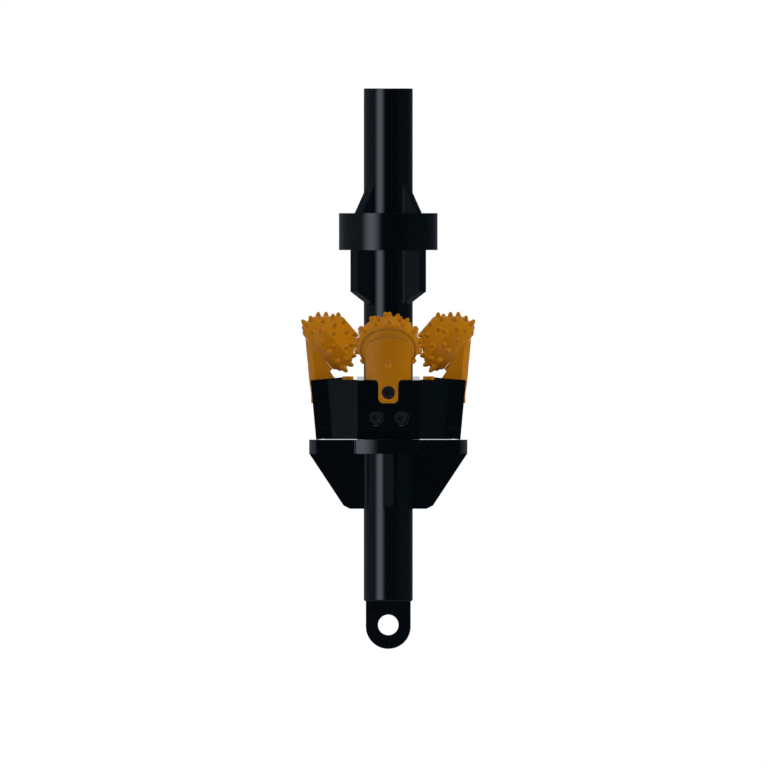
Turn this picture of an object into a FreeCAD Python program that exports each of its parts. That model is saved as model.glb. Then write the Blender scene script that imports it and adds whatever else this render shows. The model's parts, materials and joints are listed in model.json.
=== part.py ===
# Hole opener: a shaft with a tool-joint box, a centraliser, a hub with four sealed roller-cone cutters,
# a braced base plate and a pull eye. Millimetres. The origin is the centre of the box shoulder at the
# top, and +Z points up along the shaft, away from the tool. The first cutter is at +X.
import FreeCAD
import Part
import math
import os

# Driving dimensions

# Shaft and tool-joint box
shaft_d = 168.3
shaft_length = 1761.3
shaft_end_chamfer = 4.5
shoulder_bevel = 2.0
counterbore_d = 134.94
counterbore_depth = 15.9
box_mouth_d = 133.35
box_taper = 1.0 / 6.0
box_depth = 130.0
mud_bore_d = 57.15
mud_bore_tail = 20.0

# Pull eye, a flat plate welded to the shaft's lower end
eye_width = 153.9
eye_thickness = 60.0
eye_reach = 163.8
eye_hole_d = 70.4
eye_hole_drop = 81.4

# Centraliser ring on four fins
ring_d = 338.7
ring_wall = 22.75
ring_top = 428.3
ring_height = 127.1
fin_thickness = 33.3
fin_outer_r = 167.05
fin_head_rise = 98.6
fin_skirt_height = 142.7
fin_foot_height = 45.5

# Hub, an eight-sided body with a leaning flat for each cutter. Its heights start from the plates' top edge
saddle_radius = 266.7
saddle_top = 1002.2
saddle_lean = 5.25
crown_rise = 12.7
corner_rise = 1.7
hub_depth = 202.7
ledge_lip = 29.0
saddle_depth = 138.0
plate_width = 215.0
plate_height = 168.0
plate_thickness = 58.0

# Base plate and its gussets
base_gap = 1.5
base_thickness = 48.6
base_outer_r = 271.8
base_lobe_width = 221.6
base_corner_r = 6.0
gusset_thickness = 35.0
gusset_outer_r = 271.1
gusset_height = 189.0
gusset_nose_r = 153.6
gusset_foot_r = 131.3
gusset_nose_height = 11.0

# Cutter arm, in the leaning frame of its saddle. The knee is a distance up the face under the cone, from
# the journal's axis; below it the face falls away by the relief, in degrees
arm_width = 157.0
arm_proud = 4.8
arm_back_r = 160.0
arm_knee = 12.0
arm_relief = 6.9
pad_gap = 0.6
pad_d = 156.0
pad_depth = 18.0
foot_thickness = 28.0
foot_depth = 158.0
tongue_width = 67.5
tongue_depth = 78.9
tongue_corner_r = 16.0
tongue_flare_r = 14.0

# Journal and cone position
cone_inset = 33.2
cone_rise = 94.6
journal_angle = 35.75
seal_land_d = 96.0
seal_land_end = 15.7
race_d = 88.0
race_end = 52.5
ball_land_d = 72.0
ball_land_end = 73.0
pilot_d = 42.0
pilot_end = 97.0
pilot_chamfer = 2.0

# Cone shell
cone_back_d = 152.0
back_edge_end = 3.0
back_edge_d = 165.0
step_root = 10.5
step_root_d = 180.0
step_crest = 11.6
step_crest_d = 194.0
gauge_edge = 17.5
gauge_edge_d = 204.0
heel_start = 22.0
heel_end = 44.0
heel_d = 207.4
bevel_end = 68.8
bevel_end_d = 202.2
flank_knee = 110.0
flank_knee_d = 134.2
nose_edge_start = 139.5
nose_edge_d = 76.4
cone_length = 144.0
nose_d = 71.4

# Bearing and seal inside the cone
lip_width = 3.0
seal_section_d = 9.2
seal_gland_width = 10.0
roller_d = 12.5
roller_count = 24
race_flange = 2.6
ball_d = 16.0
ball_count = 13
washer_thickness = 2.7
bush_wall = 4.9
cavity_end_gap = 2.0

# Ball hole through the arm, and the plug that closes it
ball_hole_height = 56.3
ball_hole_d = 16.8
plug_dish_d = 27.0
plug_dish_depth = 5.0

# Cutting inserts, in rows from the heel to the nose: the place along the cone axis, the tilt from square
# to that axis, how many in the row, and the angle of the first
row_along = [30.9, 55.5, 81.4, 101.7, 115.8, 132.6]
row_tilt = [0.0, 21.0, 40.5, 40.5, 40.5, 40.5]
row_count = [14, 9, 9, 5, 5, 5]
row_first_angle = [2.0, 22.0, 3.0, -7.0, 29.0, -7.0]
insert_d = 18.5
insert_reach = 15.8
insert_tip_r = 6.1
insert_skirt = 3.5
insert_grip = 14.0

# Socket-head screws, M30 x 100, that hold each arm and plate to the hub
screw_d = 30.0
screw_length = 100.0
screw_head_d = 45.0
screw_head_height = 30.0
screw_socket_width = 22.0
screw_socket_depth = 15.5
screw_head_chamfer = 1.5
screw_seat_depth = 38.0
screw_hole_d = 33.0
screw_counterbore_d = 48.0
screw_mouth_chamfer = 3.0
screw_tapped_depth = 60.0
tongue_screw_drop = 44.0
plate_screw_drop = 131.2
plate_screw_spacing = 86.6

# Nozzles in the hub's four diagonal corners
nozzle_radius = 196.0
nozzle_head_d = 38.5
nozzle_head_height = 11.7
nozzle_shank_d = 32.0
nozzle_shank_length = 30.0
nozzle_jet_d = 11.0
nozzle_inlet_d = 22.0
nozzle_inlet_length = 18.0
nozzle_chamfer = 1.5
nozzle_plenum = 10.0
port_d = 18.0
port_drop = 102.8

# Clearances
weld_fit = 0.15
seat_fit = 0.4
press_fit = 0.05
roll_fit = 0.2
pilot_fit = 0.08
seal_fit = 0.15
lip_gap = 1.0
land_gap = 0.6
thread_fit = 0.1
plug_fit = 0.1
overshoot = 5.0

# Derived radii and heights that several pieces share
shaft_r = shaft_d / 2
seal_land_r = seal_land_d / 2
race_r = race_d / 2
roller_r = roller_d / 2
ball_r = ball_d / 2
ball_land_r = ball_land_d / 2
pilot_r = pilot_d / 2
pad_r = pad_d / 2
fin_top = ring_top - fin_head_rise
ring_bottom = ring_top + ring_height
fin_shoulder_end = ring_bottom + fin_skirt_height
fin_foot = fin_shoulder_end + fin_foot_height
hub_crown = saddle_top - crown_rise
hub_top = saddle_top - corner_rise
hub_bottom = saddle_top + hub_depth
port_start = saddle_top + port_drop
mud_bore_depth = port_start + mud_bore_tail
base_top = hub_bottom + base_gap
roller_orbit_r = race_r + roll_fit + roller_r
cup_r = roller_orbit_r + roller_r + roll_fit
ball_plane = (race_end + ball_land_end) / 2
gland_r = seal_land_r + seal_section_d + 2 * seal_fit
gland_end = lip_width + seal_gland_width
flange_end = race_end + land_gap
cup_start = seal_land_end + roll_fit
cup_end = flange_end - race_flange
washer_end = ball_land_end + roll_fit + washer_thickness
cavity_end = pilot_end + cavity_end_gap
foot_back = plate_thickness + foot_thickness


def vec(x, y, z):
    return FreeCAD.Vector(x, y, z)


UP = vec(0, 0, 1)
ACROSS = vec(0, 1, 0)
CENTRE = vec(0, 0, 0)


# Small helpers

def moved(shape, placement):
    """Return a copy of the shape, carried to the placement."""
    copy = shape.copy()
    copy.Placement = placement.multiply(copy.Placement)
    return copy


def turned(shape, degrees):
    """Return a copy turned about the shaft axis."""
    return moved(shape, FreeCAD.Placement(CENTRE, FreeCAD.Rotation(UP, degrees)))


def face_of(points):
    return Part.Face(Part.makePolygon(points + points[:1]))


def revolved(profile):
    """Turn a profile of (radius, height) points once about the local Z axis."""
    return face_of([vec(r, 0, z) for r, z in profile]).revolve(CENTRE, UP, 360)


def cylinder(radius, low, high):
    return Part.makeCylinder(radius, high - low, vec(0, 0, low), UP)


def block(x_low, x_high, y_low, y_high, z_low, z_high):
    return Part.makeBox(x_high - x_low, y_high - y_low, z_high - z_low, vec(x_low, y_low, z_low))


def fin(profile, thickness):
    """A flat plate with the profile of (radius, height) points, centred on the XZ plane."""
    face = face_of([vec(r, -thickness / 2, z) for r, z in profile])
    return face.extrude(vec(0, thickness, 0))


def frustum(low_points, high_points):
    """A solid with flat faces between two polygons of as many corners."""
    count = len(low_points)
    faces = [face_of(low_points), face_of(high_points)]
    for i in range(count):
        j = (i + 1) % count
        faces.append(face_of([low_points[i], low_points[j], high_points[j], high_points[i]]))
    return Part.Solid(Part.Shell(faces))


def joined(pieces):
    return pieces[0].fuse(pieces[1:]).removeSplitter()


# The two leaning frames of a cutter

def in_saddle(shape):
    """Carry a shape from the saddle frame of the first cutter to the part's frame.

    In the saddle frame X is square to the plate and points out, Z runs up the plate's face, and the
    origin is the middle of the plate's top outer edge.
    """
    lean = FreeCAD.Rotation(ACROSS, saddle_lean)
    return moved(shape, FreeCAD.Placement(vec(saddle_radius, 0, -saddle_top), lean))


def journal_placement():
    """The journal frame in the saddle frame: Z along the journal into the cone, X up and outwards."""
    turn = FreeCAD.Rotation(ACROSS, journal_angle - 90)
    return FreeCAD.Placement(vec(-cone_inset, 0, cone_rise), turn)


def on_journal(shape):
    return moved(shape, journal_placement())


# Shaft and pull eye

def make_shaft():
    mouth_r = (box_mouth_d - counterbore_depth * box_taper) / 2
    bottom_r = (box_mouth_d - box_depth * box_taper) / 2
    outside = revolved([
        (0, 0),
        (shaft_r - shoulder_bevel, 0),
        (shaft_r, -shoulder_bevel),
        (shaft_r, shaft_end_chamfer - shaft_length),
        (shaft_r - shaft_end_chamfer, -shaft_length),
        (0, -shaft_length),
    ])
    inside = revolved([
        (0, overshoot),
        (counterbore_d / 2, overshoot),
        (counterbore_d / 2, -counterbore_depth),
        (mouth_r, -counterbore_depth),
        (bottom_r, -box_depth),
        (mud_bore_d / 2, -box_depth),
        (mud_bore_d / 2, -mud_bore_depth),
        (0, -mud_bore_depth),
    ])
    return outside.cut([inside] + port_drillings())


def make_pull_eye():
    half = eye_width / 2
    top = -shaft_length
    centre_z = top - eye_reach + half
    edges = [
        Part.LineSegment(vec(-half, 0, centre_z), vec(-half, 0, top)),
        Part.LineSegment(vec(-half, 0, top), vec(half, 0, top)),
        Part.LineSegment(vec(half, 0, top), vec(half, 0, centre_z)),
        Part.Arc(vec(half, 0, centre_z), vec(0, 0, centre_z - half), vec(-half, 0, centre_z)),
    ]
    outline = Part.Face(Part.Wire([edge.toShape() for edge in edges]))
    plate = outline.extrude(vec(0, eye_thickness, 0))
    plate.translate(vec(0, -eye_thickness / 2, 0))
    hole_place = vec(0, -eye_thickness, top - eye_hole_drop)
    return plate.cut(Part.makeCylinder(eye_hole_d / 2, 2 * eye_thickness, hole_place, ACROSS))


# Centraliser

def make_ring():
    ring_r = ring_d / 2
    return revolved([
        (ring_r - ring_wall, -ring_bottom),
        (ring_r, -ring_bottom),
        (ring_r, -ring_top),
        (ring_r - ring_wall, -ring_top),
    ])


def make_centraliser_fin():
    """A fin along +X that passes inside the ring and steps out below it."""
    ring_inner_r = ring_d / 2 - ring_wall
    upper = fin([
        (0, -fin_top),
        (shaft_r, -fin_top),
        (ring_inner_r, -ring_top),
        (ring_inner_r, -ring_bottom),
        (0, -ring_bottom),
    ], fin_thickness)
    upper = upper.common(cylinder(ring_inner_r - weld_fit, -ring_bottom, -fin_top))
    lower = fin([
        (0, -ring_bottom),
        (fin_outer_r, -ring_bottom),
        (fin_outer_r, -fin_shoulder_end),
        (shaft_r, -fin_foot),
        (0, -fin_foot),
    ], fin_thickness)
    shaft_room = cylinder(shaft_r + weld_fit, -fin_foot - overshoot, -fin_top + overshoot)
    return joined([upper, lower]).cut(shaft_room)


# Hub

def hub_outline(drop):
    """The eight corners of the hub at a depth below the shoulder, on the line of the plates' backs."""
    lean = math.radians(saddle_lean)
    back_z = -saddle_top + plate_thickness * math.sin(lean)
    back_r = saddle_radius - plate_thickness * math.cos(lean)
    flat = back_r - (back_z + drop) * math.tan(lean)
    half = plate_width / 2
    corners = [(flat, -half), (flat, half), (half, flat), (-half, flat)]
    corners += [(-x, -y) for x, y in corners]
    return [vec(x, y, -drop) for x, y in corners]


def plate_zone(inner, outer, low, high, half_width):
    """A block in the saddle frame, measured inwards from the plate's face."""
    return block(-inner, -outer, -half_width, half_width, low, high)


def screw_places():
    """Where the three screws of a cutter stand, as (across, height) in the saddle frame."""
    half = plate_screw_spacing / 2
    return [(0, -tongue_screw_drop), (-half, -plate_screw_drop), (half, -plate_screw_drop)]


def bore_across(radius, across, height, outer, inner):
    """A cylinder square to the plate's face, from outer to inner, measured inwards."""
    return Part.makeCylinder(radius, inner - outer, vec(-outer, across, height), vec(-1, 0, 0))


def nozzle_corner(radius, height):
    return vec(radius * math.cos(math.pi / 4), radius * math.sin(math.pi / 4), height)


def port_drillings():
    """The four slanted mud ways from the shaft's bore to the pockets under the nozzles."""
    start = vec(0, 0, -port_start)
    end = nozzle_corner(nozzle_radius, -hub_top - nozzle_shank_length - nozzle_plenum)
    way = end - start
    drilling = Part.makeCylinder(port_d / 2, way.Length, start, way)
    return [turned(drilling, 90 * k) for k in range(4)]


def make_hub_body():
    slab = block(-saddle_radius, saddle_radius, -saddle_radius, saddle_radius, -hub_bottom, -hub_crown)
    low = saddle_top - hub_bottom - saddle_radius * math.tan(math.radians(saddle_lean))
    half = plate_width / 2
    lip_foot = (saddle_top + weld_fit - base_top) / math.cos(math.radians(saddle_lean))
    band = in_saddle(plate_zone(saddle_depth, plate_thickness, low, 0, half))
    ledge = in_saddle(plate_zone(foot_back, ledge_lip, low, -plate_height, half))
    lip = in_saddle(plate_zone(ledge_lip, 0, lip_foot, -plate_height, half))
    core = frustum(hub_outline(hub_bottom), hub_outline(hub_top))
    bands = [turned(shape, 90 * k) for k in range(4) for shape in (band, ledge)]
    lips = [turned(lip, 90 * k) for k in range(4)]
    body = joined([core] + [shape.common(slab) for shape in bands] + lips)

    pocket = plate_zone(foot_back + seat_fit, plate_thickness - seat_fit, -foot_depth - seat_fit,
                        crown_rise + overshoot, arm_width / 2 + seat_fit)
    tapped = [bore_across(screw_d / 2 + thread_fit, across, height, foot_back, foot_back + screw_tapped_depth)
              for across, height in screw_places()]
    cuts = [cylinder(shaft_r + weld_fit, -hub_bottom - overshoot, 0)]
    cuts += [turned(in_saddle(shape), 90 * k) for k in range(4) for shape in [pocket] + tapped]
    cuts += port_drillings()
    nozzle_depth = hub_top + nozzle_shank_length + nozzle_plenum
    nozzle_hole = cylinder(nozzle_shank_d / 2 + thread_fit, -nozzle_depth, 0)
    nozzle_hole.translate(nozzle_corner(nozzle_radius, 0))
    cuts += [turned(nozzle_hole, 90 * k) for k in range(4)]
    return body.cut(cuts)


def tongue_outline(gap):
    """The face of the arm's tongue, or of the notch round it, in the plane of the plate's face."""
    half = tongue_width / 2 + gap
    depth = tongue_depth + gap
    corner = tongue_corner_r
    flare = tongue_flare_r
    slant = math.sqrt(0.5)
    right = [
        Part.Arc(vec(0, half + flare, 0),
                 vec(0, half + flare * (1 - slant), -flare * (1 - slant)),
                 vec(0, half, -flare)),
        Part.LineSegment(vec(0, half, -flare), vec(0, half, corner - depth)),
        Part.Arc(vec(0, half, corner - depth),
                 vec(0, half - corner * (1 - slant), corner * (1 - slant) - depth),
                 vec(0, half - corner, -depth)),
    ]
    bottom = Part.LineSegment(vec(0, half - corner, -depth), vec(0, corner - half, -depth))
    top = Part.LineSegment(vec(0, -half - flare, 0), vec(0, half + flare, 0))
    right_edges = [edge.toShape() for edge in right]
    left_edges = [edge.mirror(CENTRE, ACROSS) for edge in right_edges]
    edges = right_edges + [bottom.toShape()] + left_edges[::-1] + [top.toShape()]
    return Part.Face(Part.Wire(edges))


def screw_holes(places, face):
    """Clearance holes with chamfered counterbores, from a face that stands proud of the plate."""
    counterbore_r = screw_counterbore_d / 2
    cuts = []
    for across, height in places:
        mouth = Part.makeCone(counterbore_r + screw_mouth_chamfer, counterbore_r, screw_mouth_chamfer,
                              vec(face, across, height), vec(-1, 0, 0))
        head_room = bore_across(counterbore_r, across, height, -face - overshoot, screw_seat_depth)
        shank_room = bore_across(screw_hole_d / 2, across, height, 0, foot_back + overshoot)
        cuts += [mouth, head_room, shank_room]
    return cuts


def make_saddle_plate():
    plate = plate_zone(plate_thickness, 0, -plate_height, 0, plate_width / 2)
    notch = tongue_outline(seat_fit).extrude(vec(-plate_thickness - overshoot, 0, 0))
    return plate.cut([notch] + screw_holes(screw_places()[1:], 0))


def make_screw():
    """A screw along -X whose head is seated at the origin."""
    head_r = screw_head_d / 2
    head = revolved([
        (0, 0),
        (head_r, 0),
        (head_r, screw_head_height - screw_head_chamfer),
        (head_r - screw_head_chamfer, screw_head_height),
        (0, screw_head_height),
    ])
    shank = revolved([
        (0, 0),
        (screw_d / 2, 0),
        (screw_d / 2, screw_head_chamfer - screw_length),
        (screw_d / 2 - screw_head_chamfer, -screw_length),
        (0, -screw_length),
    ])
    socket_r = screw_socket_width / math.sqrt(3)
    floor = screw_head_height - screw_socket_depth
    corners = [vec(socket_r * math.cos(k * math.pi / 3), socket_r * math.sin(k * math.pi / 3), floor)
               for k in range(6)]
    socket = face_of(corners).extrude(vec(0, 0, screw_socket_depth + overshoot))
    screw = joined([head, shank]).cut(socket)
    return moved(screw, FreeCAD.Placement(CENTRE, FreeCAD.Rotation(ACROSS, 90)))


def make_screws():
    """The three screws of one cutter, in the saddle frame."""
    screw = make_screw()
    screws = []
    for across, height in screw_places():
        copy = screw.copy()
        copy.translate(vec(-screw_seat_depth, across, height))
        screws.append(copy)
    return screws


def make_nozzle():
    head_r = nozzle_head_d / 2
    shank_r = nozzle_shank_d / 2
    jet_r = nozzle_jet_d / 2
    nozzle = revolved([
        (nozzle_inlet_d / 2, -nozzle_shank_length),
        (shank_r, -nozzle_shank_length),
        (shank_r, 0),
        (head_r, 0),
        (head_r, nozzle_head_height - nozzle_chamfer),
        (head_r - nozzle_chamfer, nozzle_head_height),
        (jet_r + nozzle_chamfer, nozzle_head_height),
        (jet_r, nozzle_head_height - nozzle_chamfer),
        (jet_r, nozzle_inlet_length - nozzle_shank_length),
    ])
    nozzle.translate(nozzle_corner(nozzle_radius, -hub_top))
    return nozzle


# Base plate and gussets

def make_base_plate():
    half = base_lobe_width / 2
    low = -base_top - base_thickness
    cross = joined([
        block(-base_outer_r, base_outer_r, -half, half, low, -base_top),
        block(-half, half, -base_outer_r, base_outer_r, low, -base_top),
    ])
    corners = [edge for edge in cross.Edges
               if abs(edge.Length - base_thickness) < press_fit
               and abs(abs(edge.CenterOfMass.x) - half) < press_fit
               and abs(abs(edge.CenterOfMass.y) - half) < press_fit]
    cross = cross.makeFillet(base_corner_r, corners)
    plate = cross.common(cylinder(base_outer_r, low, -base_top))
    return plate.cut(cylinder(shaft_r + weld_fit, low - overshoot, overshoot - base_top))


def make_gusset():
    top = -base_top - base_thickness
    foot = top - gusset_height
    plate = fin([
        (0, top),
        (gusset_outer_r, top),
        (gusset_nose_r, foot + gusset_nose_height),
        (gusset_foot_r, foot),
        (0, foot),
    ], gusset_thickness)
    return plate.cut(cylinder(shaft_r + weld_fit, foot - overshoot, top + overshoot))


# Cutter arm and journal

def journal_profile():
    """The journal turned on the arm: pad, seal land, roller race, ball land and pilot pin."""
    return [
        (0, -pad_depth),
        (pad_r, -pad_depth),
        (pad_r, -pad_gap),
        (seal_land_r, -pad_gap),
        (seal_land_r, seal_land_end),
        (race_r, seal_land_end),
        (race_r, race_end),
        (ball_land_r, race_end),
        (ball_land_r, ball_land_end),
        (pilot_r, ball_land_end),
        (pilot_r, pilot_end - pilot_chamfer),
        (pilot_r - pilot_chamfer, pilot_end),
        (0, pilot_end),
    ]


def ball_groove():
    """The ring that the balls roll in, half in the journal and half in the cone."""
    return Part.makeTorus(ball_land_r, ball_r + roll_fit, vec(0, 0, ball_plane), UP)


def arm_side():
    """The arm seen from the side: the foot, the post, and the face under the cone's back.

    The face lies along the cone's back from the tip down to the knee, and falls away from it below.
    """
    angle = math.radians(journal_angle)
    relief = math.radians(journal_angle - arm_relief)
    into_cone = vec(-math.cos(angle), 0, math.sin(angle))
    up_face = vec(math.sin(angle), 0, math.cos(angle))
    up_post = vec(math.sin(relief), 0, math.cos(relief))
    base = vec(-cone_inset, 0, cone_rise) - into_cone * pad_gap
    tip = base + up_face * ((arm_proud - base.x) / up_face.x)
    knee = base + up_face * arm_knee
    heel = knee + up_post * ((-foot_back - knee.x) / up_post.x)
    return fin([
        (-foot_back, -foot_depth),
        (-plate_thickness, -foot_depth),
        (-plate_thickness, 0),
        (arm_proud, 0),
        (tip.x, tip.z),
        (knee.x, knee.z),
        (heel.x, heel.z),
    ], arm_width)


def arm_back():
    """The round bar that the arm's and the tongue's outer face is turned to."""
    bar = cylinder(arm_back_r, -foot_depth - overshoot, cone_rise + pad_r)
    bar.translate(vec(arm_proud - arm_back_r, 0, 0))
    return bar


def ball_hole_line():
    """Where the ball hole starts on the arm's back, and the middle of the ball race that it meets."""
    start = vec(arm_proud, 0, ball_hole_height)
    end = journal_placement().multVec(vec(-ball_land_r, 0, ball_plane))
    return start, end


def along_ball_hole(radius, depth):
    """A bar down the ball hole, from a little outside the arm's back to a depth."""
    start, end = ball_hole_line()
    way = (end - start).normalize()
    return Part.makeCylinder(radius, depth + ball_hole_d, start - way * ball_hole_d, way)


def plug_dish():
    """The ball that hollows a shallow dish in the arm's back, over the plug and the metal round it."""
    radius = (plug_dish_d ** 2 / 4 + plug_dish_depth ** 2) / (2 * plug_dish_depth)
    return Part.makeSphere(radius, vec(arm_proud + radius - plug_dish_depth, 0, ball_hole_height))


def make_arm_blank():
    tongue = tongue_outline(0).extrude(vec(-foot_back, 0, 0))
    tongue.translate(vec(arm_proud, 0, 0))
    journal = on_journal(revolved(journal_profile()))
    outside = joined([arm_side(), tongue, journal]).common(arm_back())
    return outside.cut(on_journal(ball_groove()))


def make_arm(blank):
    start, end = ball_hole_line()
    hole = along_ball_hole(ball_hole_d / 2, start.distanceToPoint(end))
    holes = screw_holes(screw_places()[:1], arm_proud) + screw_holes(screw_places()[1:], 0)
    return blank.cut([hole, plug_dish()] + holes)


def make_ball_plug(blank):
    """The plug fills the ball hole from the dish down, and completes the race at its inner end."""
    start, end = ball_hole_line()
    plug = along_ball_hole(ball_hole_d / 2 - plug_fit, start.distanceToPoint(end) - plug_fit)
    return plug.common(blank).cut(plug_dish())


# Cone with its inserts, in the journal frame

def shell_radius(along):
    """The radius of the cone's outside at a place along its axis, from the heel to the nose."""
    stations = [
        (heel_start, heel_d / 2),
        (heel_end, heel_d / 2),
        (bevel_end, bevel_end_d / 2),
        (flank_knee, flank_knee_d / 2),
        (nose_edge_start, nose_edge_d / 2),
    ]
    for (low, low_r), (high, high_r) in zip(stations, stations[1:]):
        if along <= high:
            return low_r + (high_r - low_r) * (along - low) / (high - low)
    return nose_edge_d / 2


def row_placements(along, radius, tilt, count, first):
    """The frames of a row of inserts: Z out of the cone's surface, evenly spaced about the axis."""
    places = []
    for k in range(count):
        angle = first + 360.0 * k / count
        turn = FreeCAD.Rotation(UP, angle).multiply(FreeCAD.Rotation(ACROSS, 90 - tilt))
        spot = FreeCAD.Rotation(UP, angle).multVec(vec(radius, 0, along))
        places.append(FreeCAD.Placement(spot, turn))
    return places


def tooth_placements():
    places = []
    for along, tilt, count, first in zip(row_along, row_tilt, row_count, row_first_angle):
        places += row_placements(along, shell_radius(along), tilt, count, first)
    return places


def make_insert():
    """A pressed-in tooth: a straight grip, a short skirt and a cone that ends in a round tip."""
    grip_r = insert_d / 2
    tip_centre = insert_reach - insert_tip_r
    to_centre = math.hypot(grip_r, tip_centre - insert_skirt)
    bend = math.asin(insert_tip_r / to_centre)
    slope = math.atan2(tip_centre - insert_skirt, -grip_r) - bend
    flank = math.sqrt(to_centre ** 2 - insert_tip_r ** 2)
    touch = vec(grip_r + flank * math.cos(slope), 0, insert_skirt + flank * math.sin(slope))
    middle = slope / 2
    on_tip = vec(insert_tip_r * math.cos(middle), 0, tip_centre + insert_tip_r * math.sin(middle))
    points = [vec(0, 0, -insert_grip), vec(grip_r, 0, -insert_grip), vec(grip_r, 0, insert_skirt), touch]
    edges = [Part.LineSegment(a, b).toShape() for a, b in zip(points, points[1:])]
    edges.append(Part.Arc(touch, on_tip, vec(0, 0, insert_reach)).toShape())
    edges.append(Part.LineSegment(vec(0, 0, insert_reach), points[0]).toShape())
    return Part.Face(Part.Wire(edges)).revolve(CENTRE, UP, 360)


def cone_outside():
    return revolved([
        (0, 0),
        (cone_back_d / 2, 0),
        (back_edge_d / 2, back_edge_end),
        (step_root_d / 2, step_root),
        (step_crest_d / 2, step_crest),
        (gauge_edge_d / 2, gauge_edge),
        (heel_d / 2, heel_start),
        (heel_d / 2, heel_end),
        (bevel_end_d / 2, bevel_end),
        (flank_knee_d / 2, flank_knee),
        (nose_edge_d / 2, nose_edge_start),
        (nose_d / 2, cone_length),
        (0, cone_length),
    ])


def cone_cavity():
    lip_r = seal_land_r + lip_gap
    flange_r = race_r + land_gap
    throat_r = ball_land_r + land_gap
    bush_r = pilot_r + pilot_fit + bush_wall
    return revolved([
        (0, -overshoot),
        (lip_r, -overshoot),
        (lip_r, lip_width),
        (gland_r, lip_width),
        (gland_r, gland_end),
        (lip_r, gland_end),
        (lip_r, cup_start),
        (cup_r, cup_start),
        (cup_r, cup_end),
        (flange_r, cup_end),
        (flange_r, flange_end),
        (throat_r, flange_end),
        (throat_r, washer_end),
        (bush_r, washer_end),
        (bush_r, cavity_end),
        (0, cavity_end),
    ])


def make_cone():
    tooth_pocket = cylinder(insert_d / 2 + press_fit, -insert_grip, insert_reach)
    cuts = [cone_cavity(), ball_groove()]
    cuts += [moved(tooth_pocket, place) for place in tooth_placements()]
    return cone_outside().cut(cuts)


# Bearing pieces, in the journal frame

def make_rollers():
    low = cup_start + roll_fit
    high = cup_end - roll_fit
    roller = cylinder(roller_r, low, high)
    roller.translate(vec(roller_orbit_r, 0, 0))
    return [turned(roller, 360.0 * k / roller_count) for k in range(roller_count)]


def make_balls():
    """The ring of balls starts half a pitch from the ball hole."""
    ball = Part.makeSphere(ball_r, vec(-ball_land_r, 0, ball_plane))
    return [turned(ball, 360.0 * (k + 0.5) / ball_count) for k in range(ball_count)]


def make_seal():
    seal_r = seal_section_d / 2
    middle = lip_width + seal_gland_width / 2
    return Part.makeTorus(seal_land_r + seal_fit + seal_r, seal_r, vec(0, 0, middle), UP)


def make_thrust_washer():
    low = washer_end - washer_thickness
    return revolved([
        (pilot_r + land_gap, low),
        (ball_land_r + land_gap - press_fit, low),
        (ball_land_r + land_gap - press_fit, washer_end),
        (pilot_r + land_gap, washer_end),
    ])


def make_pilot_bush():
    inner_r = pilot_r + pilot_fit
    outer_r = inner_r + bush_wall - press_fit
    high = cavity_end - cavity_end_gap
    return revolved([
        (inner_r, washer_end),
        (outer_r, washer_end),
        (outer_r, high),
        (inner_r, high),
    ])


# All nodes

def cutter_pieces():
    """One cutter's pieces in the part's frame, at +X, as node name to solids."""
    blank = make_arm_blank()
    insert = make_insert()
    in_saddle_frame = {
        "saddle_plate": [make_saddle_plate()],
        "arm": [make_arm(blank)],
    }
    on_journal_frame = {
        "cone": [make_cone()],
        "inserts": [moved(insert, place) for place in tooth_placements()],
        "seal": [make_seal()],
        "thrust_washer": [make_thrust_washer()],
        "pilot_bush": [make_pilot_bush()],
        "rollers": make_rollers(),
        "balls": make_balls(),
    }
    pieces = {name: [in_saddle(s) for s in solids] for name, solids in in_saddle_frame.items()}
    pieces.update({name: [in_saddle(on_journal(s)) for s in solids]
                   for name, solids in on_journal_frame.items()})
    shared = {
        "cutter_screws": [in_saddle(s) for s in make_screws()],
        "ball_plugs": [in_saddle(make_ball_plug(blank))],
    }
    return pieces, shared


def all_nodes():
    nodes = {
        "shaft": [make_shaft()],
        "pull_eye": [make_pull_eye()],
        "centraliser_ring": [make_ring()],
        "hub_body": [make_hub_body()],
        "base_plate": [make_base_plate()],
    }
    centraliser_fin = make_centraliser_fin()
    nozzle = make_nozzle()
    gusset = make_gusset()
    pieces, shared = cutter_pieces()
    for k in range(4):
        number = k + 1
        nodes[f"centraliser_fin_{number}"] = [turned(centraliser_fin, 45 + 90 * k)]
        nodes[f"nozzle_{number}"] = [turned(nozzle, 90 * k)]
        nodes[f"base_gusset_{number}"] = [turned(gusset, 90 * k)]
        for name, solids in pieces.items():
            nodes[f"{name}_{number}"] = [turned(solid, 90 * k) for solid in solids]
        for name, solids in shared.items():
            nodes.setdefault(name, []).extend(turned(solid, 90 * k) for solid in solids)
    return nodes


def write_steps(nodes):
    os.makedirs("parts", exist_ok=True)
    for name, solids in nodes.items():
        shape = solids[0] if len(solids) == 1 else Part.makeCompound(solids)
        shape.exportStep(f"parts/{name}.step")


write_steps(all_nodes())
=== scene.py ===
"""Looks of the hole opener: its enamels and bare metals, the thread in its box, and a plain studio."""

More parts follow.
